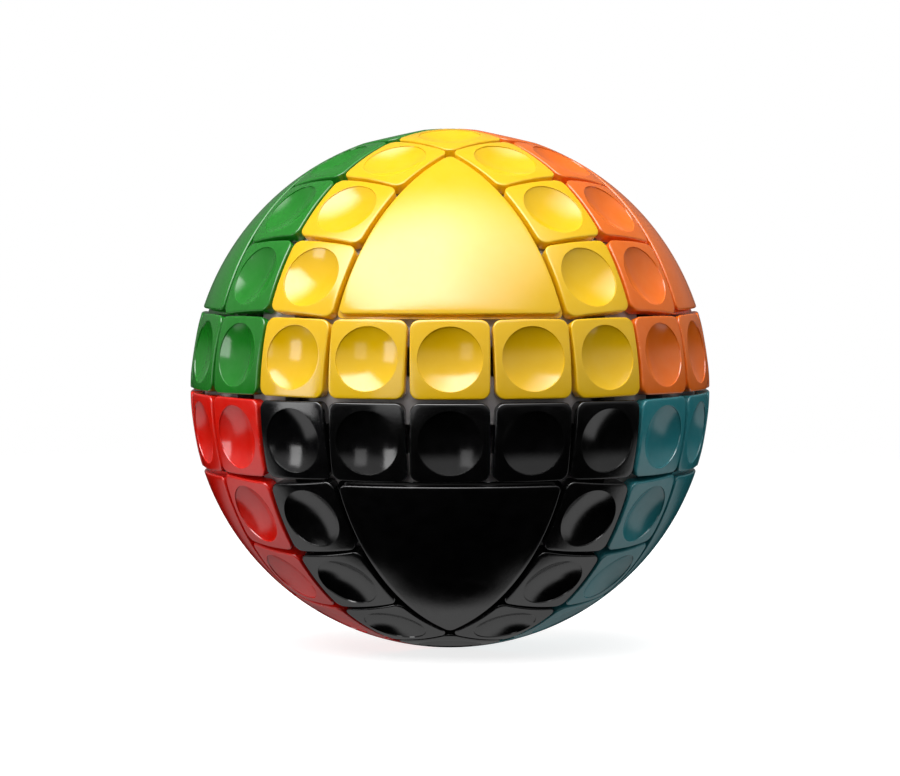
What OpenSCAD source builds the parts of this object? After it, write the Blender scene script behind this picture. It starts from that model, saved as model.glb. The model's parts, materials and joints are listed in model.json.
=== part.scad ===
// Twisty ball of ninety-six square tiles in six turning rows.
//
// Three great circles, one in each plane x = 0, y = 0 and z = 0, cut the ball
// into eight octants of one colour each. A row of twenty square tiles runs
// along each side of each great circle, and four tiles at each of the six
// places where the circles cross belong to two rows at once. The tiles' feet
// run in six round T-slots in a hollow core, so each row turns about X, Y or Z.
// A fixed triangular cap fills what is left of each octant.
// Origin at the ball's centre. All lengths are in mm and all angles in degrees.

/* [Ball] */
// Outside diameter of the ball
ball_d = 100; // [96:1:106]
// Thickness of a tile's plate and of a cap, from the surface inward
plate_t = 2.4; // [2.3:0.1:2.8]
// Gap between the underside of the tiles and the core
core_gap = 0.3; // [0.3:0.05:0.6]

/* [Tiles] */
// Angle from a great circle to the middle of the row of tiles beside it
row_lat = 8.85; // [8.8:0.01:8.9]
// Half of the angle that a tile spans, seen from the ball's centre
tile_half = 8.46; // [8.3:0.01:8.48]
// Radius of a tile's corners at the surface
corner_r = 1.75; // [1.4:0.05:2.5]
// Diameter of a tile's finger dimple at the surface
dimple_d = 12; // [10:0.1:12.4]
// Radius of the sphere that hollows the dimple
dimple_r = 14; // [12:0.5:20]

/* [Feet and tracks] */
// Radius of the stem under a tile
stem_r = 2.2; // [1.8:0.1:2.4]
// Radius of the round foot at the end of the stem
foot_r = 4; // [3.6:0.1:4.2]
// Thickness of the foot
foot_t = 2; // [1.6:0.1:2.2]
// Side clearance of stem and foot in a track
side_play = 0.3; // [0.2:0.05:0.35]
// Clearance above and below the foot in a track
foot_play = 0.45; // [0.4:0.05:0.6]
// Thickness of the lips that hold the feet in
lip_t = 3.2; // [2.8:0.1:3.4]

/* [Caps] */
// Gap between a cap's side and the rows of tiles round it
cap_gap = 0.72; // [0.4:0.02:1]
// Radius of a cap's three corners
cap_corner_r = 1.2; // [0.6:0.1:2]
// Wall thickness of a cap
cap_wall = 1.3; // [1.1:0.1:1.5]
// Depth of the flange round a cap, below the surface
flange_at = 1.15; // [1:0.05:1.4]
// Gap between a cap's flange and the rows of tiles that slide past it
flange_gap = 0.25; // [0.2:0.05:0.4]
// Radius of a cap's pegs
peg_r = 2.4; // [2:0.1:2.6]
// Distance of a cap's pegs from its middle
peg_out = 9; // [8:0.5:9.5]

/* [Core] */
// Thickness of the core's wall under the tracks
wall_t = 5.5; // [4.5:0.5:6]
// Distance of each core screw from the planes x = 0 and y = 0
screw_at = 17; // [16.8:0.1:17.4]
// Radius of the posts that the core screws run in
post_r = 4.5; // [4:0.1:5]
// Height of the screw heads' seats above the core's joint
screw_seat = 30; // [28:0.5:30]
// Length of a core screw under its head
screw_l = 40; // [35:1:42]

/* [Hidden] */
ball_r = ball_d / 2;
plate_in = ball_r - plate_t;
core_r = plate_in - core_gap;
channel_top = core_r - lip_t;
foot_top = channel_top - foot_play;
foot_bottom = foot_top - foot_t;
channel_bottom = foot_bottom - foot_play;
hollow_r = channel_bottom - wall_t;
channel_mid = sin(row_lat) * (foot_top + foot_bottom) / 2;
channel_half = foot_r * cos(row_lat) + foot_t / 2 * sin(row_lat) + side_play;
neck_mid = sin(row_lat) * (channel_top + core_r) / 2;
neck_half = stem_r * cos(row_lat) + (core_r - channel_top) / 2 * sin(row_lat) + side_play;
pitch = 18;
corner_tilt = acos(sqrt(1 - 2 * pow(sin(row_lat), 2)));
dimple_c = sqrt(pow(ball_r, 2) - pow(dimple_d / 2, 2)) + sqrt(pow(dimple_r, 2) - pow(dimple_d / 2, 2));
cap_side = ball_r * sin(row_lat + tile_half) + cap_gap;
flange_r = ball_r - flange_at;
flange_side = flange_r * sin(row_lat + tile_half) + flange_gap;
peg_end = sqrt(pow(core_r, 2) - pow(peg_out, 2)) - 5;
peg_play = 0.1;
screw_r = 1.5;
pilot_r = 1.25;
screw_play = 0.2;
head_r = 2.75;
head_h = 2;
spigot_r = 3;
spigot_l = 2;
corner_steps = 4;
big = 2 * ball_r;

yellow = [0.98, 0.80, 0.10];
black = [0.03, 0.03, 0.03];
green = [0.10, 0.48, 0.14];
red = [0.80, 0.06, 0.04];
orange = [0.95, 0.42, 0.10];
teal = [0.12, 0.45, 0.50];
blue = [0.08, 0.22, 0.65];
white = [0.92, 0.92, 0.90];
core_grey = [0.24, 0.23, 0.23];
steel = [0.70, 0.71, 0.72];

// Each octant by the signs of its x, y and z.
yellow_at = [1, -1, 1];
black_at = [1, -1, -1];
green_at = [-1, -1, 1];
red_at = [-1, -1, -1];
orange_at = [1, 1, 1];
teal_at = [1, 1, -1];
blue_at = [-1, 1, 1];
white_at = [-1, 1, -1];

// Turns X to Y, Y to Z and Z to X, times over.
module cycle(times) rotate(a = 120 * times, v = [1, 1, 1]) children();

// Middle angle of the quarter turn where the two signs are u and v.
function quarter(u, v) = u > 0 ? (v > 0 ? 45 : 315) : (v > 0 ? 135 : 225);

// Outline of a rounded square pyramid about X, cut at x = d.
function tile_ring(d) = let (r = corner_r / ball_r, t = tan(tile_half) - r)
    [for (k = [0:3]) for (i = [0:corner_steps])
        let (a = 90 * (k + i / corner_steps))
        d * [1, (k == 0 || k == 3 ? t : -t) + r * cos(a), (k < 2 ? t : -t) + r * sin(a)]];

// Rounded square pyramid about X whose sides meet at the ball's centre.
module tile_wedge() {
    n = 4 * (corner_steps + 1);
    polyhedron(
        points = concat(tile_ring(plate_in - 3), tile_ring(ball_r + 3)),
        faces = concat(
            [[for (i = [0:n - 1]) i]],
            [[for (i = [n - 1:-1:0]) n + i]],
            [for (i = [0:n - 1]) [i, n + i, n + (i + 1) % n, (i + 1) % n]]),
        convexity = 2);
}

// One tile on the X axis: dimpled plate, stem and round foot.
module tile() {
    difference() {
        intersection() {
            tile_wedge();
            sphere(r = ball_r, $fn = 180);
        }
        sphere(r = plate_in, $fn = 180);
        translate([dimple_c, 0, 0]) sphere(r = dimple_r, $fn = 96);
    }
    rotate([0, 90, 0]) {
        translate([0, 0, foot_top - 0.5]) cylinder(r = stem_r, h = plate_in + 1 - foot_top + 0.5, $fn = 48);
        translate([0, 0, foot_bottom]) cylinder(r = foot_r, h = foot_t, $fn = 48);
    }
}

// The three edge tiles that one octant has in its row about the given axis.
module edge_tiles(axis, o) {
    middle = quarter(o[(axis + 1) % 3], o[(axis + 2) % 3]);
    cycle((axis + 1) % 3)
        for (step = [-1:1])
            rotate([0, 0, middle + step * pitch])
                rotate([0, -o[axis] * row_lat, 0])
                    tile();
}

// The octant's tile where two of its rows cross, beside the given axis.
module corner_tile(axis, o) {
    b = [o[axis], o[(axis + 1) % 3], o[(axis + 2) % 3]];
    cycle(axis)
        rotate(a = corner_tilt, v = [0, -b[0] * b[2], b[0] * b[1]])
            rotate([0, 0, b[0] > 0 ? 0 : 180])
                tile();
}

// Puts what is made in the octant of +X, +Y and +Z into octant o.
module to_octant(o) {
    turn = quarter(o[0], o[1]) - 45;
    if (o[2] > 0) rotate([0, 0, turn]) children();
    else rotate([0, 0, turn]) rotate([0, 0, 90]) rotate([180, 0, 0]) children();
}

// Stands what is made along Z at the pegs of the cap in the octant of +X, +Y and +Z.
module at_pegs() {
    for (k = [0:2])
        cycle(k)
            rotate([0, acos(1 / sqrt(3)), 45])
                translate([peg_out, 0, 0]) children();
}

// Corner of a cap along Z, outside its rounding, where the sides stand at side.
module cap_corner_cut(side) {
    difference() {
        translate([side - 1, side - 1, 0]) cube([cap_corner_r + 1, cap_corner_r + 1, big]);
        translate([side + cap_corner_r, side + cap_corner_r, -1]) cylinder(r = cap_corner_r, h = big + 2, $fn = 32);
    }
}

// Solid triangular dome out to radius r, with its sides at side and its corners rounded.
module cap_block(r, side) {
    difference() {
        intersection() {
            sphere(r = r, $fn = 180);
            translate([side, side, side]) cube(big);
        }
        for (k = [0:2]) cycle(k) cap_corner_cut(side);
    }
}

// One cap: triangular domed shell with a flange round it and three pegs.
module cap() {
    difference() {
        union() {
            cap_block(ball_r, cap_side);
            cap_block(flange_r, flange_side);
        }
        sphere(r = plate_in, $fn = 180);
        intersection() {
            sphere(r = ball_r - cap_wall, $fn = 180);
            translate([1, 1, 1] * (cap_side + cap_wall)) cube(big);
        }
    }
    at_pegs() translate([0, 0, peg_end]) cylinder(r = peg_r, h = sqrt(pow(ball_r - cap_wall, 2) - pow(peg_out, 2)) + 1 - peg_end, $fn = 48);
}

// All six slots of one depth: round the ball between two spheres, and flat-sided across each axis.
module slots(r_in, r_out, middle, half_w) {
    intersection() {
        difference() {
            sphere(r = r_out, $fn = 180);
            sphere(r = r_in, $fn = 180);
        }
        for (k = [0:2]) cycle(k) for (side = [-1, 1])
            translate([0, 0, side * middle]) cube([2 * big, 2 * big, 2 * half_w], center = true);
    }
}

// Stands what is made along Z at each core screw.
module at_screws() {
    for (x = [-1, 1]) for (y = [-1, 1])
        translate([x * screw_at, y * screw_at, 0]) children();
}

// Half of the core on the +Z side, with tracks, cap sockets and posts, before its screw holes.
module core_half() {
    difference() {
        sphere(r = core_r, $fn = 180);
        sphere(r = hollow_r, $fn = 180);
        translate([-big, -big, -2 * big]) cube(2 * big);
        slots(channel_bottom, channel_top, channel_mid, channel_half);
        slots(channel_top - 0.1, ball_r, neck_mid, neck_half);
        for (turn = [0:90:270])
            rotate([0, 0, turn])
                at_pegs() translate([0, 0, peg_end]) cylinder(r = peg_r + peg_play, h = 10, $fn = 48);
    }
    intersection() {
        at_screws() cylinder(r = post_r, h = hollow_r, $fn = 48);
        sphere(r = hollow_r + 1, $fn = 180);
    }
}

module core_upper() {
    color(core_grey) difference() {
        union() {
            core_half();
            at_screws() translate([0, 0, -spigot_l]) cylinder(r = spigot_r, h = spigot_l + 1, $fn = 48);
        }
        at_screws() {
            translate([0, 0, -spigot_l - 1]) cylinder(r = screw_r + screw_play, h = big, $fn = 32);
            translate([0, 0, screw_seat]) cylinder(r = head_r + 0.45, h = big, $fn = 48);
        }
    }
}

module core_lower() {
    color(core_grey) difference() {
        rotate([180, 0, 0]) core_half();
        at_screws() {
            translate([0, 0, -spigot_l - 0.1]) cylinder(r = spigot_r + 0.1, h = spigot_l + 1, $fn = 48);
            translate([0, 0, screw_seat - screw_l - 2]) cylinder(r = pilot_r, h = big, $fn = 32);
        }
    }
}

module core_screws() {
    color(steel) at_screws()
        translate([0, 0, screw_seat]) difference() {
            union() {
                translate([0, 0, -screw_l]) cylinder(r = screw_r, h = screw_l + 0.5, $fn = 32);
                cylinder(r = head_r, h = head_h, $fn = 48);
            }
            for (turn = [0, 90]) rotate([0, 0, turn])
                translate([-1.6, -0.35, head_h - 1.2]) cube([3.2, 0.7, 2]);
        }
}

module yellow_cap() color(yellow) to_octant(yellow_at) cap();
module black_cap() color(black) to_octant(black_at) cap();
module green_cap() color(green) to_octant(green_at) cap();
module red_cap() color(red) to_octant(red_at) cap();
module orange_cap() color(orange) to_octant(orange_at) cap();
module teal_cap() color(teal) to_octant(teal_at) cap();
module blue_cap() color(blue) to_octant(blue_at) cap();
module white_cap() color(white) to_octant(white_at) cap();

module yellow_upper_row_tiles() color(yellow) edge_tiles(2, yellow_at);
module yellow_east_row_tiles() color(yellow) edge_tiles(0, yellow_at);
module yellow_south_row_tiles() color(yellow) edge_tiles(1, yellow_at);
module black_lower_row_tiles() color(black) edge_tiles(2, black_at);
module black_east_row_tiles() color(black) edge_tiles(0, black_at);
module black_south_row_tiles() color(black) edge_tiles(1, black_at);
module green_upper_row_tiles() color(green) edge_tiles(2, green_at);
module green_west_row_tiles() color(green) edge_tiles(0, green_at);
module green_south_row_tiles() color(green) edge_tiles(1, green_at);
module red_lower_row_tiles() color(red) edge_tiles(2, red_at);
module red_west_row_tiles() color(red) edge_tiles(0, red_at);
module red_south_row_tiles() color(red) edge_tiles(1, red_at);
module orange_upper_row_tiles() color(orange) edge_tiles(2, orange_at);
module orange_east_row_tiles() color(orange) edge_tiles(0, orange_at);
module orange_north_row_tiles() color(orange) edge_tiles(1, orange_at);
module teal_lower_row_tiles() color(teal) edge_tiles(2, teal_at);
module teal_east_row_tiles() color(teal) edge_tiles(0, teal_at);
module teal_north_row_tiles() color(teal) edge_tiles(1, teal_at);
module blue_upper_row_tiles() color(blue) edge_tiles(2, blue_at);
module blue_west_row_tiles() color(blue) edge_tiles(0, blue_at);
module blue_north_row_tiles() color(blue) edge_tiles(1, blue_at);
module white_lower_row_tiles() color(white) edge_tiles(2, white_at);
module white_west_row_tiles() color(white) edge_tiles(0, white_at);
module white_north_row_tiles() color(white) edge_tiles(1, white_at);

module yellow_top_corner_tile() color(yellow) corner_tile(2, yellow_at);
module yellow_east_corner_tile() color(yellow) corner_tile(0, yellow_at);
module yellow_south_corner_tile() color(yellow) corner_tile(1, yellow_at);
module black_bottom_corner_tile() color(black) corner_tile(2, black_at);
module black_east_corner_tile() color(black) corner_tile(0, black_at);
module black_south_corner_tile() color(black) corner_tile(1, black_at);
module green_top_corner_tile() color(green) corner_tile(2, green_at);
module green_west_corner_tile() color(green) corner_tile(0, green_at);
module green_south_corner_tile() color(green) corner_tile(1, green_at);
module red_bottom_corner_tile() color(red) corner_tile(2, red_at);
module red_west_corner_tile() color(red) corner_tile(0, red_at);
module red_south_corner_tile() color(red) corner_tile(1, red_at);
module orange_top_corner_tile() color(orange) corner_tile(2, orange_at);
module orange_east_corner_tile() color(orange) corner_tile(0, orange_at);
module orange_north_corner_tile() color(orange) corner_tile(1, orange_at);
module teal_bottom_corner_tile() color(teal) corner_tile(2, teal_at);
module teal_east_corner_tile() color(teal) corner_tile(0, teal_at);
module teal_north_corner_tile() color(teal) corner_tile(1, teal_at);
module blue_top_corner_tile() color(blue) corner_tile(2, blue_at);
module blue_west_corner_tile() color(blue) corner_tile(0, blue_at);
module blue_north_corner_tile() color(blue) corner_tile(1, blue_at);
module white_bottom_corner_tile() color(white) corner_tile(2, white_at);
module white_west_corner_tile() color(white) corner_tile(0, white_at);
module white_north_corner_tile() color(white) corner_tile(1, white_at);

core_upper();
core_lower();
core_screws();
yellow_cap();
black_cap();
green_cap();
red_cap();
orange_cap();
teal_cap();
blue_cap();
white_cap();
yellow_upper_row_tiles();
yellow_east_row_tiles();
yellow_south_row_tiles();
black_lower_row_tiles();
black_east_row_tiles();
black_south_row_tiles();
green_upper_row_tiles();
green_west_row_tiles();
green_south_row_tiles();
red_lower_row_tiles();
red_west_row_tiles();
red_south_row_tiles();
orange_upper_row_tiles();
orange_east_row_tiles();
orange_north_row_tiles();
teal_lower_row_tiles();
teal_east_row_tiles();
teal_north_row_tiles();
blue_upper_row_tiles();
blue_west_row_tiles();
blue_north_row_tiles();
white_lower_row_tiles();
white_west_row_tiles();
white_north_row_tiles();
yellow_top_corner_tile();
yellow_east_corner_tile();
yellow_south_corner_tile();
black_bottom_corner_tile();
black_east_corner_tile();
black_south_corner_tile();
green_top_corner_tile();
green_west_corner_tile();
green_south_corner_tile();
red_bottom_corner_tile();
red_west_corner_tile();
red_south_corner_tile();
orange_top_corner_tile();
orange_east_corner_tile();
orange_north_corner_tile();
teal_bottom_corner_tile();
teal_east_corner_tile();
teal_north_corner_tile();
blue_top_corner_tile();
blue_west_corner_tile();
blue_north_corner_tile();
white_bottom_corner_tile();
white_west_corner_tile();
white_north_corner_tile();
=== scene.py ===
import json
import math

import bpy
import numpy as np
from mathutils import Matrix, Vector


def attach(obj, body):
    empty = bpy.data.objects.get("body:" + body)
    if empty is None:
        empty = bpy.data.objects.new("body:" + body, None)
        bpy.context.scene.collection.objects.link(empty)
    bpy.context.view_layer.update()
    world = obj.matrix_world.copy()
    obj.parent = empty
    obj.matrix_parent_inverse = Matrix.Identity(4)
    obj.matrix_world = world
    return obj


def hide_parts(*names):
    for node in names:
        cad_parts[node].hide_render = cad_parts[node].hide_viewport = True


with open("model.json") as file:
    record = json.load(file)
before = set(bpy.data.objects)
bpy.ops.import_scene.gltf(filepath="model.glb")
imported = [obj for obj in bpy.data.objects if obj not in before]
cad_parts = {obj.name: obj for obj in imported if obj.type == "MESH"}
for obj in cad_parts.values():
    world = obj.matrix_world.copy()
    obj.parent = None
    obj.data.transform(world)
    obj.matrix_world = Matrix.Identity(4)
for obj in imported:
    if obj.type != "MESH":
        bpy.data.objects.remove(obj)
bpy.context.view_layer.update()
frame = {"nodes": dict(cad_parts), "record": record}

MM = 0.001
R = 50.0            # ball
PLATE_IN = 47.6     # underside of plates and caps
ROW_LAT = 8.85      # middle of a row, degrees from its great circle
TILE_HALF = 8.46    # half the angle that a tile spans
CORNER_R = 1.75
DIMPLE_D = 12.0
DIMPLE_R = 14.0
STEM_R = 2.2
FOOT_R = 4.0
FOOT_TOP = 43.65
FOOT_BOTTOM = 41.65
FLANGE_R = 48.85        # the flange round a cap
FLANGE_SIDE = FLANGE_R * math.sin(math.radians(ROW_LAT + TILE_HALF)) + 0.25
CAP_SIDE = R * math.sin(math.radians(ROW_LAT + TILE_HALF)) + 0.72
CAP_CORNER_R = 1.2
CAP_WALL = 1.3
PEG_R = 2.4
PEG_OUT = 9.0
PEG_END = math.sqrt(47.3 ** 2 - PEG_OUT ** 2) - 5
PITCH = 18.0
CORNER_TILT = math.degrees(math.acos(math.sqrt(1 - 2 * math.sin(math.radians(ROW_LAT)) ** 2)))

OCTANTS = {
    "yellow": (1, -1, 1), "black": (1, -1, -1), "green": (-1, -1, 1), "red": (-1, -1, -1),
    "orange": (1, 1, 1), "teal": (1, 1, -1), "blue": (-1, 1, 1), "white": (-1, 1, -1),
}
AXIS_OF = {"east": 0, "west": 0, "north": 1, "south": 1, "upper": 2, "lower": 2, "top": 2, "bottom": 2}


# ---------------------------------------------------------------- placement

def rot(axis, degrees):
    return np.array(Matrix.Rotation(math.radians(degrees), 3, axis))


def cycle(times):
    return rot(Vector((1, 1, 1)).normalized(), 120 * times)


def quarter(u, v):
    return (45 if v > 0 else 315) if u > 0 else (135 if v > 0 else 225)


def edge_place(axis, o, step):
    middle = quarter(o[(axis + 1) % 3], o[(axis + 2) % 3])
    return cycle((axis + 1) % 3) @ rot("Z", middle + step * PITCH) @ rot("Y", -o[axis] * ROW_LAT)


def corner_place(axis, o):
    b = [o[axis], o[(axis + 1) % 3], o[(axis + 2) % 3]]
    tilt = rot(Vector((0, -b[0] * b[2], b[0] * b[1])).normalized(), CORNER_TILT)
    return cycle(axis) @ tilt @ rot("Z", 0 if b[0] > 0 else 180)


def octant_place(o):
    turn = quarter(o[0], o[1]) - 45
    if o[2] > 0:
        return rot("Z", turn)
    return rot("Z", turn) @ rot("Z", 90) @ rot("X", 180)


# ---------------------------------------------------------------- mesh kit

def unit(v):
    return v / np.linalg.norm(v, axis=-1, keepdims=True)


def slerp(a, b, t):
    """From unit rows a to unit rows b."""
    angle = np.arccos(np.clip((a * b).sum(-1, keepdims=True), -1, 1))
    s = np.sin(angle)
    s = np.where(s < 1e-9, 1, s)
    return (np.sin((1 - t) * angle) * a + np.sin(t * angle) * b) / s


class Shell:
    """A closed surface of rings of equal length between a first and a last pole."""

    def __init__(self, first):
        self.points, self.wear = [np.array([first], float)], [np.zeros(1)]
        self.n = 0

    def ring(self, points, wear=0.0):
        self.n = len(points)
        self.points.append(np.array(points, float))
        self.wear.append(np.full(self.n, wear) if np.isscalar(wear) else np.array(wear, float))

    def close(self, last):
        self.points.append(np.array([last], float))
        self.wear.append(np.zeros(1))
        n, count = self.n, len(self.points) - 2
        faces = [(0, 1 + i, 1 + (i + 1) % n) for i in range(n)]
        for k in range(count - 1):
            a, b = 1 + k * n, 1 + (k + 1) * n
            faces += [(a + i, b + i, b + (i + 1) % n, a + (i + 1) % n) for i in range(n)]
        a = 1 + (count - 1) * n
        faces += [(a + i, a + n, a + (i + 1) % n) for i in range(n)]
        return np.concatenate(self.points), faces, np.concatenate(self.wear)


def volume(points, faces):
    total = 0.0
    for f in faces:
        for i in range(1, len(f) - 1):
            total += np.dot(points[f[0]], np.cross(points[f[i]], points[f[i + 1]]))
    return total / 6


def outward(points, faces):
    return faces if volume(points, faces) > 0 else [tuple(reversed(f)) for f in faces]


# ---------------------------------------------------------------- tile

def tile_outline(half=TILE_HALF, corner=CORNER_R, n_side=14, n_corner=8):
    """Points and outward normals of the rounded square, in the plane one unit along X."""
    t, r = math.tan(math.radians(half)), corner / R
    c = t - r
    g, m = [], []
    for q in range(4):
        turn = np.array([[math.cos(q * math.pi / 2), -math.sin(q * math.pi / 2)],
                         [math.sin(q * math.pi / 2), math.cos(q * math.pi / 2)]])
        for i in range(n_side):
            g.append(turn @ [t, c * (2 * i / n_side - 1)])
            m.append(turn @ [1.0, 0.0])
        for i in range(n_corner):
            a = math.pi / 2 * i / n_corner
            g.append(turn @ [c + r * math.cos(a), c + r * math.sin(a)])
            m.append(turn @ [math.cos(a), math.sin(a)])
    return np.array(g), np.array(m)


def make_tile(rim=0.13, edge=0.32, step=0.15):
    g, m = tile_outline()
    phi = np.arctan2(g[:, 1], g[:, 0])
    one = np.ones(len(phi))

    def around(w, s):
        return np.stack([w * one, s * np.cos(phi), s * np.sin(phi)], 1)

    # rim of the dimple: a rolled edge tangent to the dimple's sphere and to the ball
    d = math.sqrt(R ** 2 - (DIMPLE_D / 2) ** 2) + math.sqrt(DIMPLE_R ** 2 - (DIMPLE_D / 2) ** 2)
    w_c = ((R - rim) ** 2 - (DIMPLE_R + rim) ** 2 + d ** 2) / (2 * d)
    c = np.array([w_c, math.sqrt((R - rim) ** 2 - w_c ** 2)])
    n_in, n_out = unit(np.array([d, 0.0]) - c), unit(c)
    touch = c + rim * n_in
    reach = math.atan2(touch[1], d - touch[0])

    # the bowl starts a small step below the rim
    shell = Shell((d - DIMPLE_R - step, 0, 0))
    bowl = math.asin((touch[1] - 0.07) / DIMPLE_R)
    for k in range(1, 10):
        a = bowl * k / 9
        shell.ring(around(d - DIMPLE_R * math.cos(a) - step, DIMPLE_R * math.sin(a)))
    shell.ring(around(touch[0] - 0.03, touch[1] - 0.012))
    shell.ring(around(*touch), 0.3)
    for k in range(1, 6):
        p = c + rim * slerp(n_in, n_out, k / 5)
        shell.ring(around(*p), (0.75, 1.0, 1.0, 0.7, 0.3)[k - 1])

    # outer edge: a rolled edge tangent to the ball and to the plane side walls
    normal = unit(np.stack([-(m * g).sum(1), m[:, 0], m[:, 1]], 1))
    lean = np.sqrt(1 + (m * g).sum(1) ** 2)
    inner = g.copy()
    for _ in range(6):
        length = np.sqrt(1 + (inner ** 2).sum(1))
        inner = g - m * (edge * length * lean / (R - edge))[:, None]
    hub = (R - edge) * unit(np.column_stack([one, inner]))
    up = unit(hub)
    start = unit(around(*(c + rim * n_out)))
    for k in range(1, 5):
        shell.ring(R * slerp(start, up, k / 4), 0.0 if k < 4 else 0.3)
    for k in range(1, 6):
        foot = hub + edge * slerp(up, normal, k / 5)
        shell.ring(foot, (0.75, 1.0, 1.0, 0.6, 0.2)[k - 1])
    wall = unit(foot)
    shell.ring(wall * (PLATE_IN + 0.2))
    under = unit(wall * PLATE_IN - 0.2 * normal)
    shell.ring(PLATE_IN * under)
    neck = unit(around(math.sqrt(PLATE_IN ** 2 - (STEM_R + 0.3) ** 2), STEM_R + 0.3))
    shell.ring(PLATE_IN * slerp(under, neck, 0.5))
    shell.ring(PLATE_IN * neck)
    shell.ring(around(PLATE_IN - 0.35, STEM_R))
    shell.ring(around(FOOT_TOP, STEM_R))
    shell.ring(around(FOOT_TOP, FOOT_R - 0.3))
    shell.ring(around(FOOT_TOP - 0.3, FOOT_R))
    shell.ring(around(FOOT_BOTTOM + 0.3, FOOT_R))
    shell.ring(around(FOOT_BOTTOM, FOOT_R - 0.3))
    points, faces, wear = shell.close((FOOT_BOTTOM, 0, 0))
    return points, outward(points, faces), wear


# ---------------------------------------------------------------- cap

def cap_outline(rho, side, corner, inset, n_side=36, n_corner=8):
    """Where the cap's three flat sides and rounded corners, moved in by inset, meet the sphere of radius rho; with the sides' outward normals."""
    points, normals = [], []
    c = side + corner
    for q in range(3):
        turn = cycle(q)
        for i in range(n_corner):           # corner beside Z, from the side that faces -Y to the one that faces -X
            a = math.pi / 2 * (1 - i / n_corner)
            n = np.array([-math.cos(a), -math.sin(a), 0.0])
            xy = np.array([c, c]) + (corner - inset) * n[:2]
            p = np.array([xy[0], xy[1], math.sqrt(rho ** 2 - xy @ xy)])
            points.append(turn @ p)
            normals.append(turn @ n)
        x = side + inset
        r = math.sqrt(rho ** 2 - x ** 2)    # side that faces -X, from the corner beside Z to the corner beside Y
        low = math.asin(c / r)
        for i in range(n_side):
            a = low + (math.pi / 2 - 2 * low) * i / n_side
            points.append(turn @ np.array([x, r * math.sin(a), r * math.cos(a)]))
            normals.append(turn @ np.array([-1.0, 0.0, 0.0]))
    return np.array(points), np.array(normals)


def order_cap(points, normals):
    """The three corners follow each other as X to Y to Z turns, so the rings run one way round the middle of the cap."""
    axis = unit(np.array([1.0, 1.0, 1.0]))
    a = unit(np.cross(axis, [0.0, 0.0, 1.0]))
    b = np.cross(axis, a)
    angle = np.arctan2(points @ b, points @ a)
    order = np.argsort(angle)
    return points[order], normals[order], order


def make_cap(edge=0.32):
    hub, normal = cap_outline(R - edge, CAP_SIDE, CAP_CORNER_R, edge)
    _, _, order = order_cap(hub, normal)

    def line(rho, side=CAP_SIDE, corner=CAP_CORNER_R, inset=0.0):
        return cap_outline(rho, side, corner, inset)[0][order]

    hub, normal = hub[order], normal[order]
    up = unit(hub)
    middle = np.tile(unit(np.array([1.0, 1.0, 1.0])), (len(hub), 1))
    shell = Shell(tuple(R * middle[0]))
    for k in range(1, 23):
        shell.ring(R * slerp(middle, up, k / 22), 0.0 if k < 22 else 0.3)
    for k in range(1, 7):
        foot = hub + edge * slerp(up, normal, k / 6)
        shell.ring(foot, (0.7, 1.0, 1.0, 0.8, 0.4, 0.1)[k - 1])
    shell.ring(line(FLANGE_R))
    shell.ring(line(FLANGE_R, FLANGE_SIDE, CAP_CORNER_R, 0.06))
    shell.ring(line(FLANGE_R - 0.06, FLANGE_SIDE, CAP_CORNER_R))
    shell.ring(line(PLATE_IN + 0.2, FLANGE_SIDE, CAP_CORNER_R))
    shell.ring(line(PLATE_IN, FLANGE_SIDE, CAP_CORNER_R, 0.2))
    shell.ring(line(PLATE_IN, CAP_SIDE + CAP_WALL, 0.6))
    shell.ring(line(R - CAP_WALL, CAP_SIDE + CAP_WALL, 0.6))
    roof = unit(line(R - CAP_WALL, CAP_SIDE + CAP_WALL, 0.6))
    for k in range(1, 7):
        shell.ring((R - CAP_WALL) * slerp(roof, middle, k / 7))
    points, faces, wear = shell.close(tuple((R - CAP_WALL) * middle[0]))
    return points, outward(points, faces), wear


def make_pegs(n=48, top=48.35):
    frame_z = rot("Z", 45) @ rot("Y", math.degrees(math.acos(1 / math.sqrt(3))))
    phi = 2 * np.pi * np.arange(n) / n
    made = []
    for k in range(3):
        place = cycle(k) @ frame_z

        def around(z, s):
            return np.stack([PEG_OUT + s * np.cos(phi), s * np.sin(phi), np.full(n, z)], 1) @ place.T

        shell = Shell(tuple(place @ [PEG_OUT, 0, PEG_END]))
        shell.ring(around(PEG_END, PEG_R - 0.4))
        shell.ring(around(PEG_END + 0.4, PEG_R))
        shell.ring(around(top, PEG_R))
        points, faces, wear = shell.close(tuple(place @ [PEG_OUT, 0, top]))
        made.append((points, outward(points, faces), wear))
    return made


def mesh_from(name, parts):
    """One mesh of several (points in mm, faces, wear)."""
    points = np.concatenate([p for p, _, _ in parts])
    wear = np.concatenate([w for _, _, w in parts])
    faces, start = [], 0
    for p, f, _ in parts:
        faces += [tuple(start + i for i in face) for face in f]
        start += len(p)
    mesh = bpy.data.meshes.new(name)
    mesh.from_pydata((points * MM).tolist(), [], faces)
    layer = mesh.attributes.new("wear", "FLOAT", "POINT")
    layer.data.foreach_set("value", wear.astype(np.float32))
    mesh.validate()
    mesh.shade_smooth()
    mesh.set_sharp_from_angle(angle=math.radians(32))
    mesh.update()
    return mesh


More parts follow.
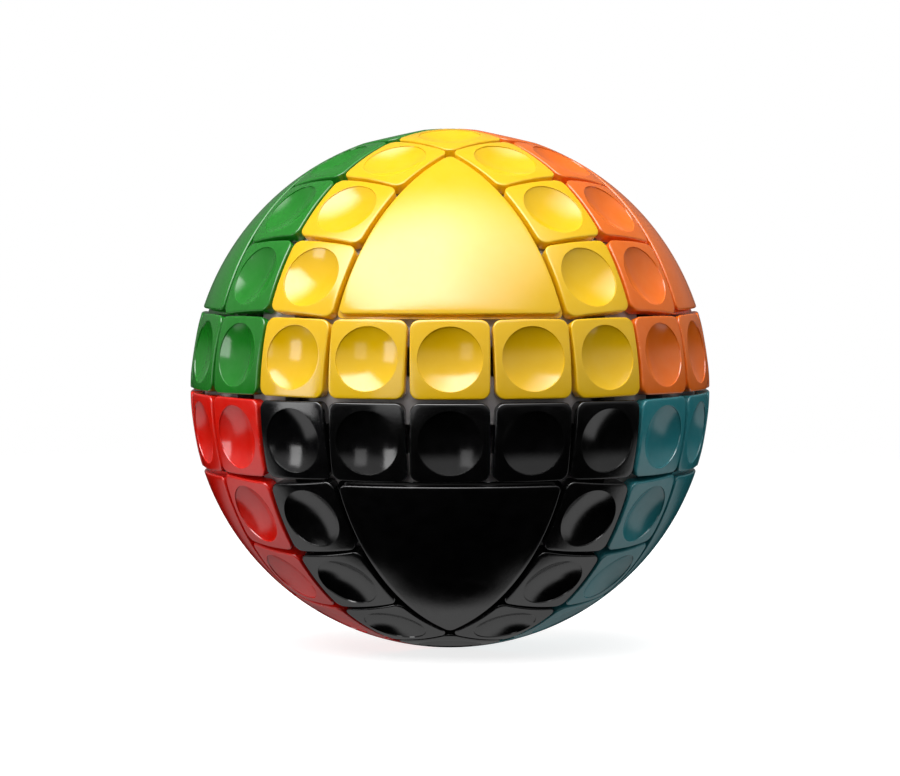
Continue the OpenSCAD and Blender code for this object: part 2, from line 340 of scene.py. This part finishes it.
def joined_cap():
    """The cap's shell and its three pegs as one closed surface, as (points in mm, faces, wear)."""
    body = bpy.data.objects.new("cap_shell_work", mesh_from("cap_shell_work", [make_cap()]))
    pegs = bpy.data.objects.new("cap_pegs_work", mesh_from("cap_pegs_work", make_pegs()))
    for o in (body, pegs):
        bpy.context.scene.collection.objects.link(o)
    join = body.modifiers.new("join", "BOOLEAN")
    join.operation, join.object, join.solver = "UNION", pegs, "EXACT"
    bpy.context.view_layer.update()
    done = body.evaluated_get(bpy.context.evaluated_depsgraph_get()).to_mesh()
    points = np.zeros(len(done.vertices) * 3)
    done.vertices.foreach_get("co", points)
    wear = np.zeros(len(done.vertices), np.float32)
    if "wear" in done.attributes:
        done.attributes["wear"].data.foreach_get("value", wear)
    faces = [tuple(p.vertices) for p in done.polygons]
    body.to_mesh_clear()
    for o in (body, pegs):
        data = o.data
        bpy.data.objects.remove(o)
        bpy.data.meshes.remove(data)
    return points.reshape(-1, 3) / MM, faces, wear.astype(float)


# ---------------------------------------------------------------- materials

def linear(r, g, b):
    def one(c):
        c /= 255
        return c / 12.92 if c <= 0.04045 else ((c + 0.055) / 1.055) ** 2.4
    return (one(r), one(g), one(b), 1.0)


def mixed(a, b, t):
    return tuple(x + (y - x) * t for x, y in zip(a, b))


class Nodes:
    def __init__(self, name):
        self.material = bpy.data.materials.new(name)
        self.material.use_nodes = True
        self.tree = self.material.node_tree
        self.tree.nodes.clear()

    def add(self, kind, inputs=None, **settings):
        node = self.tree.nodes.new(kind)
        for key, value in settings.items():
            setattr(node, key, value)
        for key, value in (inputs or {}).items():
            if isinstance(value, bpy.types.NodeSocket):
                self.tree.links.new(value, node.inputs[key])
            else:
                node.inputs[key].default_value = value
        return node

    def ramp(self, value, stops, interpolation="LINEAR"):
        node = self.add("ShaderNodeValToRGB", {"Fac": value})
        node.color_ramp.interpolation = interpolation
        elements = node.color_ramp.elements
        while len(elements) > len(stops):
            elements.remove(elements[-1])
        while len(elements) < len(stops):
            elements.new(1.0)
        for element, (at, colour) in zip(elements, stops):
            element.position = at
            element.color = colour if isinstance(colour, tuple) else (colour, colour, colour, 1)
        return node.outputs["Color"]

    def maths(self, operation, a, b=None, c=None, clamp=False):
        node = self.add("ShaderNodeMath", {0: a}, operation=operation, use_clamp=clamp)
        for k, v in ((1, b), (2, c)):
            if v is None:
                continue
            if isinstance(v, bpy.types.NodeSocket):
                self.tree.links.new(v, node.inputs[k])
            else:
                node.inputs[k].default_value = v
        return node.outputs[0]

    def mix_colour(self, fac, a, b):
        node = self.add("ShaderNodeMix", data_type="RGBA", blend_type="MIX")
        for key, value in ((0, fac), (6, a), (7, b)):
            if isinstance(value, bpy.types.NodeSocket):
                self.tree.links.new(value, node.inputs[key])
            else:
                node.inputs[key].default_value = value
        return node.outputs[2]


def moulded_plastic(name, base, deep, scuff, rough=0.14, ior=1.55, specular=1.0, coat=0.0, offset=(0, 0, 0)):
    """Glossy injection-moulded plastic: slow tint changes, mottled gloss, handling smears, hair scratches, fine orange peel, and edges polished pale by fingers."""
    n = Nodes(name)
    place = n.add("ShaderNodeMapping", {"Vector": n.add("ShaderNodeTexCoord").outputs["Object"], "Location": offset}).outputs["Vector"]

    def noise(scale, detail=2.0, roughness=0.5, distortion=0.0, vector=place):
        return n.add("ShaderNodeTexNoise", {"Vector": vector, "Scale": scale, "Detail": detail, "Roughness": roughness, "Distortion": distortion}).outputs["Fac"]

    slow = noise(38.0, 2.0, 0.5)
    cloud = noise(420.0, 3.0, 0.55)
    smear = noise(95.0, 4.0, 0.62, 1.6)
    grain = noise(5200.0, 2.0, 0.5)
    peel = noise(1500.0, 1.0, 0.4)
    streak_at = n.add("ShaderNodeMapping", {"Vector": place, "Rotation": (0.7, 0.4, 1.1), "Scale": (260.0, 6200.0, 3800.0)}).outputs["Vector"]
    streak = n.add("ShaderNodeTexNoise", {"Vector": streak_at, "Scale": 1.0, "Detail": 1.0, "Roughness": 0.4}).outputs["Fac"]
    scratch = n.ramp(streak, [(0.0, 0.0), (0.69, 0.0), (0.735, 1.0), (1.0, 1.0)])

    tint = n.mix_colour(n.ramp(slow, [(0.30, 0.0), (0.70, 1.0)]), base, deep)
    speck = n.mix_colour(n.maths("MULTIPLY", n.ramp(cloud, [(0.35, 0.0), (0.75, 1.0)]), 0.10), tint, scuff)
    wear = n.add("ShaderNodeAttribute", attribute_name="wear", attribute_type="GEOMETRY").outputs["Fac"]
    broken = n.ramp(noise(900.0, 3.0, 0.6), [(0.42, 0.0), (0.66, 1.0)])
    rubbed = n.maths("MULTIPLY", wear, broken, clamp=True)
    colour = n.mix_colour(n.maths("MULTIPLY", rubbed, 0.16), speck, scuff)

    gloss = n.maths("MULTIPLY_ADD", cloud, 0.035, rough - 0.03)
    gloss = n.maths("MULTIPLY_ADD", n.ramp(smear, [(0.46, 0.0), (0.66, 1.0)]), 0.05, gloss)
    gloss = n.maths("MULTIPLY_ADD", scratch, 0.05, gloss)
    gloss = n.maths("MULTIPLY_ADD", rubbed, 0.12, gloss, clamp=True)

    height = n.maths("MULTIPLY_ADD", peel, 0.55, n.maths("MULTIPLY", grain, 0.25))
    height = n.maths("MULTIPLY_ADD", scratch, -0.30, height)
    bump = n.add("ShaderNodeBump", {"Height": height, "Strength": 0.10, "Distance": 0.00008})
    shader = n.add("ShaderNodeBsdfPrincipled", {
        "Base Color": colour, "Roughness": gloss, "Normal": bump.outputs["Normal"],
        "IOR": ior, "Specular IOR Level": specular, "Coat Weight": coat, "Coat Roughness": 0.08,
    })
    out = n.add("ShaderNodeOutputMaterial")
    n.tree.links.new(shader.outputs[0], out.inputs["Surface"])
    return n.material


def grey_plastic(name, low, high, pale):
    """Satin grey glass-filled plastic with a spark-eroded mould texture and faint rub marks."""
    n = Nodes(name)
    place = n.add("ShaderNodeTexCoord").outputs["Object"]
    fine = n.add("ShaderNodeTexNoise", {"Vector": place, "Scale": 3200.0, "Detail": 3.0, "Roughness": 0.6}).outputs["Fac"]
    slow = n.add("ShaderNodeTexNoise", {"Vector": place, "Scale": 60.0, "Detail": 3.0, "Roughness": 0.55}).outputs["Fac"]
    fibres = n.add("ShaderNodeTexVoronoi", {"Vector": place, "Scale": 1100.0, "Randomness": 1.0}, feature="F1").outputs["Distance"]
    colour = n.ramp(slow, [(0.25, low), (0.75, high)])
    colour = n.mix_colour(n.maths("MULTIPLY", n.ramp(fine, [(0.45, 0.0), (0.75, 1.0)]), 0.25), colour, pale)
    gloss = n.maths("MULTIPLY_ADD", fine, 0.18, 0.36)
    height = n.maths("MULTIPLY_ADD", fibres, 0.4, fine)
    bump = n.add("ShaderNodeBump", {"Height": height, "Strength": 0.25, "Distance": 0.00006})
    shader = n.add("ShaderNodeBsdfPrincipled", {"Base Color": colour, "Roughness": gloss, "Normal": bump.outputs["Normal"], "IOR": 1.5})
    out = n.add("ShaderNodeOutputMaterial")
    n.tree.links.new(shader.outputs[0], out.inputs["Surface"])
    return n.material


def screw_steel():
    """Zinc-plated steel: bright bluish metal with crystalline mottling and turning marks."""
    n = Nodes("screw_steel_look")
    place = n.add("ShaderNodeTexCoord").outputs["Object"]
    crystal = n.add("ShaderNodeTexVoronoi", {"Vector": place, "Scale": 2600.0, "Randomness": 1.0}, feature="F1").outputs["Distance"]
    cloud = n.add("ShaderNodeTexNoise", {"Vector": place, "Scale": 700.0, "Detail": 4.0, "Roughness": 0.6}).outputs["Fac"]
    turned_at = n.add("ShaderNodeMapping", {"Vector": place, "Scale": (300.0, 300.0, 6000.0)}).outputs["Vector"]
    turned = n.add("ShaderNodeTexNoise", {"Vector": turned_at, "Scale": 1.0, "Detail": 2.0}).outputs["Fac"]
    colour = n.ramp(cloud, [(0.3, linear(168, 170, 176)), (0.7, linear(196, 198, 202))])
    gloss = n.maths("MULTIPLY_ADD", crystal, 0.20, 0.24)
    bump = n.add("ShaderNodeBump", {"Height": turned, "Strength": 0.3, "Distance": 0.00004})
    shader = n.add("ShaderNodeBsdfPrincipled", {"Base Color": colour, "Roughness": gloss, "Normal": bump.outputs["Normal"], "Metallic": 1.0})
    out = n.add("ShaderNodeOutputMaterial")
    n.tree.links.new(shader.outputs[0], out.inputs["Surface"])
    return n.material


# base tint, deeper tint that the slow variation leans to, and the paler tone of a rubbed edge
TINTS = {
    "yellow": ((242, 194, 6), (240, 188, 3), (250, 218, 80)),
    "black": ((9, 9, 9), (6, 6, 7), (44, 44, 46)),
    "green": ((26, 126, 30), (22, 118, 25), (88, 160, 88)),
    "red": ((236, 26, 10), (228, 19, 8), (242, 100, 84)),
    "orange": ((242, 115, 24), (238, 108, 18), (248, 158, 90)),
    "teal": ((52, 138, 147), (44, 130, 139), (108, 168, 174)),
    "blue": ((24, 76, 178), (18, 68, 168), (92, 132, 204)),
    "white": ((228, 227, 222), (222, 221, 215), (242, 241, 238)),
}
plastics = {}
for index, (colour, (base, deep, scuff)) in enumerate(TINTS.items()):
    plastics[colour] = moulded_plastic(
        colour + "_plastic_look", linear(*base), linear(*deep), linear(*scuff),
        offset=(0.31 * index, 0.17 * index, 0.23 * index))


core_look = grey_plastic("core_plastic_look", linear(184, 179, 179), linear(196, 191, 191), linear(212, 208, 208))


# ---------------------------------------------------------------- pieces

tile = make_tile()
cap = joined_cap()


def placed(part, turn):
    return part[0] @ turn.T, *part[1:]


def piece(node, parts, colour, body):
    mesh = mesh_from(node + "_moulded", parts)
    mesh.materials.append(plastics[colour])
    made = bpy.data.objects.new(node + "_moulded", mesh)
    bpy.context.scene.collection.objects.link(made)
    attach(made, body)
    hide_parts(node)
    return made


body_of_node = {n: b for b, nodes in frame["record"]["behaviour"]["bodies"].items() for n in nodes}
for node, body in sorted(body_of_node.items()):
    colour = node.split("_")[0]
    if colour not in OCTANTS:
        continue
    o = OCTANTS[colour]
    if node.endswith("_cap"):
        parts = [placed(cap, octant_place(o))]
    elif node.endswith("_row_tiles"):
        axis = AXIS_OF[node.split("_")[1]]
        parts = [placed(tile, edge_place(axis, o, step)) for step in (-1, 0, 1)]
    else:
        parts = [placed(tile, corner_place(AXIS_OF[node.split("_")[1]], o))]
    piece(node, parts, colour, body)

for node, look in (("core_upper", core_look), ("core_lower", core_look), ("core_screws", screw_steel())):
    shown = frame["nodes"][node]
    for slot in shown.material_slots:
        slot.material = look
    if not shown.material_slots:
        shown.data.materials.append(look)


# ---------------------------------------------------------------- studio

TOWARD = Vector((math.sqrt(0.5), -math.sqrt(0.5), 0.0))    # level direction from the ball to the camera
RIGHT = Vector((math.sqrt(0.5), math.sqrt(0.5), 0.0))
UP = Vector((0.0, 0.0, 1.0))


def direction(azimuth, elevation):
    """Azimuth 0 is toward the camera and grows to the camera's right."""
    a, e = math.radians(azimuth), math.radians(elevation)
    return TOWARD * (math.cos(a) * math.cos(e)) + RIGHT * (math.sin(a) * math.cos(e)) + UP * math.sin(e)


def softbox(name, centre, width, height, radiance, aim=(0, 0, 0), roll_up=UP, glossy=True):
    lamp = bpy.data.lights.new(name, "AREA")
    lamp.shape, lamp.size, lamp.size_y = "RECTANGLE", width, height
    lamp.energy = radiance * 4 * width * height
    made = bpy.data.objects.new(name, lamp)
    bpy.context.scene.collection.objects.link(made)
    back = (Vector(centre) - Vector(aim)).normalized()
    side = roll_up.cross(back).normalized()
    top = back.cross(side)
    made.matrix_world = Matrix.Translation(centre) @ Matrix((side, top, back)).transposed().to_4x4()
    made.visible_camera = False
    made.visible_glossy = glossy
    return made


# a wide box overhead that dims toward the right and fades out above the ball; its soft front edge stands 38 degrees up
HEIGHT = 1.3
LEFT, WIDE, BACK, DEEP = -1.15, 2.15, -0.26, 1.66
middle = (TOWARD * (BACK + DEEP / 2) + RIGHT * (LEFT + WIDE / 2) + UP) * HEIGHT
overhead = softbox("overhead_softbox", middle, WIDE * HEIGHT, DEEP * HEIGHT, 1.0, aim=middle - UP, roll_up=-TOWARD)
overhead.data.use_nodes = True
lamp_tree = overhead.data.node_tree


def lamp_node(kind, inputs=None, **settings):
    node = lamp_tree.nodes.new(kind)
    for key, value in settings.items():
        setattr(node, key, value)
    for key, value in (inputs or {}).items():
        if isinstance(value, bpy.types.NodeSocket):
            lamp_tree.links.new(value, node.inputs[key])
        else:
            node.inputs[key].default_value = value
    return node


def across(vector):
    return lamp_node("ShaderNodeVectorMath", {0: lamp_at, 1: tuple(vector / HEIGHT)}, operation="DOT_PRODUCT").outputs["Value"]


lamp_at = lamp_node("ShaderNodeNewGeometry").outputs["Position"]
share_right = lamp_node("ShaderNodeValToRGB", {"Fac": lamp_node("ShaderNodeMapRange", {"Value": across(RIGHT), "From Min": LEFT, "From Max": LEFT + WIDE}).outputs["Result"]})
curve = share_right.color_ramp.elements
PROFILE = ((-1.15, 2.3), (-0.97, 3.1), (-0.70, 3.85), (-0.08, 3.8), (0.10, 2.90), (0.25, 2.16), (0.40, 1.62), (0.55, 1.15), (0.70, 0.75), (0.85, 0.33), (1.0, 0.06))
while len(curve) < len(PROFILE):
    curve.new(1.0)
for element, (at, radiance) in zip(curve, PROFILE):
    element.position = (at - LEFT) / WIDE
    element.color = (radiance / 5, radiance / 5, radiance / 5, 1)
share_back = lamp_node("ShaderNodeMapRange", {"Value": across(TOWARD), "From Min": -0.26, "From Max": 0.40}, interpolation_type="SMOOTHSTEP").outputs["Result"]
share_front = lamp_node("ShaderNodeMapRange", {"Value": across(TOWARD), "From Min": 1.15, "From Max": 1.39, "To Min": 1.0, "To Max": 0.0}, interpolation_type="SMOOTHSTEP").outputs["Result"]
strength = lamp_node("ShaderNodeMath", {0: share_right.outputs["Color"], 1: share_back}, operation="MULTIPLY").outputs[0]
strength = lamp_node("ShaderNodeMath", {0: strength, 1: share_front}, operation="MULTIPLY").outputs[0]
strength = lamp_node("ShaderNodeMath", {0: strength, 1: 5.0}, operation="MULTIPLY").outputs[0]
lamp_out = next(n for n in lamp_tree.nodes if n.type == "OUTPUT_LIGHT")
lamp_tree.links.new(lamp_node("ShaderNodeEmission", {"Color": (1, 1, 1, 1), "Strength": strength}).outputs[0], lamp_out.inputs["Surface"])

# two upright softboxes on the left, at the height of the ball
for name, azimuth, wide, radiance in (("left_softbox", -70, 19, 1.7), ("left_front_softbox", -24, 17, 0.55)):
    away = 1.6
    softbox(name, direction(azimuth, 2.5) * away, 2 * away * math.tan(math.radians(wide / 2)), 2 * away * math.tan(math.radians(11.5)), radiance)

# soft bounce from low on both sides, and a lamp on the far side for the views from behind; none of them leaves a glint
for name, azimuth, elevation, wide, tall, radiance in (
        ("left_bounce", -95, -25, 1.2, 1.2, 1.10), ("right_bounce", 115, -25, 1.2, 1.2, 1.30),
        ("top_fill", 180, 78, 1.2, 1.2, 1.9), ("far_side_fill", 180, 22, 2.2, 1.1, 0.9)):
    softbox(name, direction(azimuth, elevation) * 1.6, wide, tall, radiance, glossy=False)

world = bpy.data.worlds.new("studio")
bpy.context.scene.world = world
world.use_nodes = True
wt = world.node_tree
wt.nodes.clear()


def sky_node(kind, inputs=None, **settings):
    node = wt.nodes.new(kind)
    for key, value in settings.items():
        setattr(node, key, value)
    for key, value in (inputs or {}).items():
        if isinstance(value, bpy.types.NodeSocket):
            wt.links.new(value, node.inputs[key])
        else:
            node.inputs[key].default_value = value
    return node


def along(vector):
    return sky_node("ShaderNodeVectorMath", {0: sky_at, 1: tuple(vector)}, operation="DOT_PRODUCT").outputs["Value"]


def smooth(value, low, high, start=0.0, end=1.0):
    return sky_node("ShaderNodeMapRange", {"Value": value, "From Min": low, "From Max": high, "To Min": start, "To Max": end}, interpolation_type="SMOOTHSTEP").outputs["Result"]


def times(a, b):
    return sky_node("ShaderNodeMath", {0: a, 1: b}, operation="MULTIPLY").outputs[0]


# pale walls above the horizon, dark below it in front, and a pale floor below it behind
sky_at = sky_node("ShaderNodeTexCoord").outputs["Generated"]
height_ = along(UP)
depth_ = along(TOWARD)
walls = times(smooth(height_, -0.12, 0.17, 0.0, 1.0), smooth(depth_, -0.50, 0.20, 0.17, 0.30))
behind = smooth(depth_, -0.14, 0.02, 1.0, 0.0)
lower = times(smooth(height_, -0.32, -0.22, 1.0, 0.0), smooth(height_, -0.975, -0.92, 0.0, 1.0))
fade = smooth(depth_, -1.0, -0.15, 0.16, 0.50)
ground = times(times(behind, lower), fade)
glow = sky_node("ShaderNodeMath", {0: walls, 1: ground}, operation="ADD").outputs[0]
lit = sky_node("ShaderNodeBackground", {"Color": (1, 1, 1, 1), "Strength": glow})
seen = sky_node("ShaderNodeBackground", {"Color": (1, 1, 1, 1), "Strength": 1.0})
path = sky_node("ShaderNodeLightPath")
by_camera = sky_node("ShaderNodeMixShader", {0: path.outputs["Is Camera Ray"], 1: lit.outputs[0], 2: seen.outputs[0]})
sky_node("ShaderNodeOutputWorld", {"Surface": by_camera.outputs[0]})

# a pale floor that fades into the backdrop away from the ball
floor_mesh = bpy.data.meshes.new("floor")
rim = [(0.62 * math.cos(2 * math.pi * k / 96), 0.62 * math.sin(2 * math.pi * k / 96), -0.0501) for k in range(96)]
floor_mesh.from_pydata(rim, [], [tuple(range(96))])
look = Nodes("floor_look")
floor_at = look.add("ShaderNodeTexCoord").outputs["Object"]
floor_grain = look.add("ShaderNodeTexNoise", {"Vector": floor_at, "Scale": 900.0, "Detail": 2.0}).outputs["Fac"]
floor_colour = look.ramp(floor_grain, [(0.3, (0.38, 0.38, 0.38, 1)), (0.7, (0.42, 0.42, 0.42, 1))])
paint = look.add("ShaderNodeBsdfPrincipled", {
    "Base Color": floor_colour, "Roughness": 0.9, "Specular IOR Level": 0.1,
    "Emission Color": (1, 1, 1, 1), "Emission Strength": 0.80})
reach = look.add("ShaderNodeVectorMath", {0: floor_at}, operation="LENGTH").outputs["Value"]
gone = look.add("ShaderNodeMapRange", {"Value": reach, "From Min": 0.16, "From Max": 0.60}, interpolation_type="SMOOTHSTEP").outputs["Result"]
clear = look.add("ShaderNodeBsdfTransparent")
faded = look.add("ShaderNodeMixShader", {0: gone, 1: paint.outputs[0], 2: clear.outputs[0]})
look.add("ShaderNodeOutputMaterial", {"Surface": faded.outputs[0]})
floor_mesh.materials.append(look.material)
floor = bpy.data.objects.new("floor", floor_mesh)
bpy.context.scene.collection.objects.link(floor)
floor.visible_glossy = False
floor.visible_diffuse = False
floor.visible_shadow = False

lens = bpy.data.cameras.new("camera")
lens.sensor_width, lens.lens = 36.0, 157.4
lens.clip_start, lens.clip_end = 0.01, 50.0
camera = bpy.data.objects.new("camera", lens)
bpy.context.scene.collection.objects.link(camera)
camera.location = direction(0, 2.87) * 0.76
camera.rotation_euler = (-camera.location).to_track_quat("-Z", "Y").to_euler()
bpy.context.scene.camera = camera
bpy.context.scene.view_settings.view_transform = "Standard"
